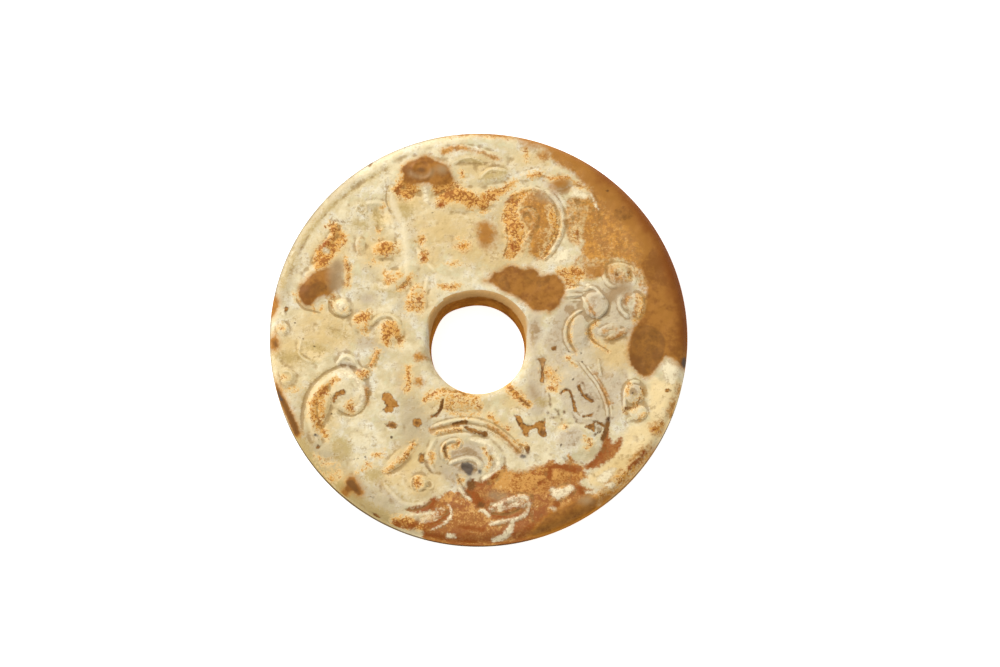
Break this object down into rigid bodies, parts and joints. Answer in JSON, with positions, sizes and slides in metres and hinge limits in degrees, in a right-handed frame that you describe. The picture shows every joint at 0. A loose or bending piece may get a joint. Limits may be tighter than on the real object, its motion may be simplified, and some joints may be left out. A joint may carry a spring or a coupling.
{
  "type": "jade bi disc",
  "caption": "Flat round carved jade disc with an off-centre bore, low-relief dragon and cloud scrolls on one face, plain underside.",
  "frame": {"origin": "on the surface that the disc lies on, under the middle of its round outline", "axes": "+Z up through the thickness, out of the carved face; +X to the right and +Y up as the carved face is seen in the picture"},
  "size_m": [0.08, 0.08, 0.0084],
  "materials": {
    "weathered_jade": "polished brown jade under a cream weathered skin with russet staining"
  },
  "bodies": {
    "root": {"bi_disc": "weathered_jade"}
  },
  "joints": []
}
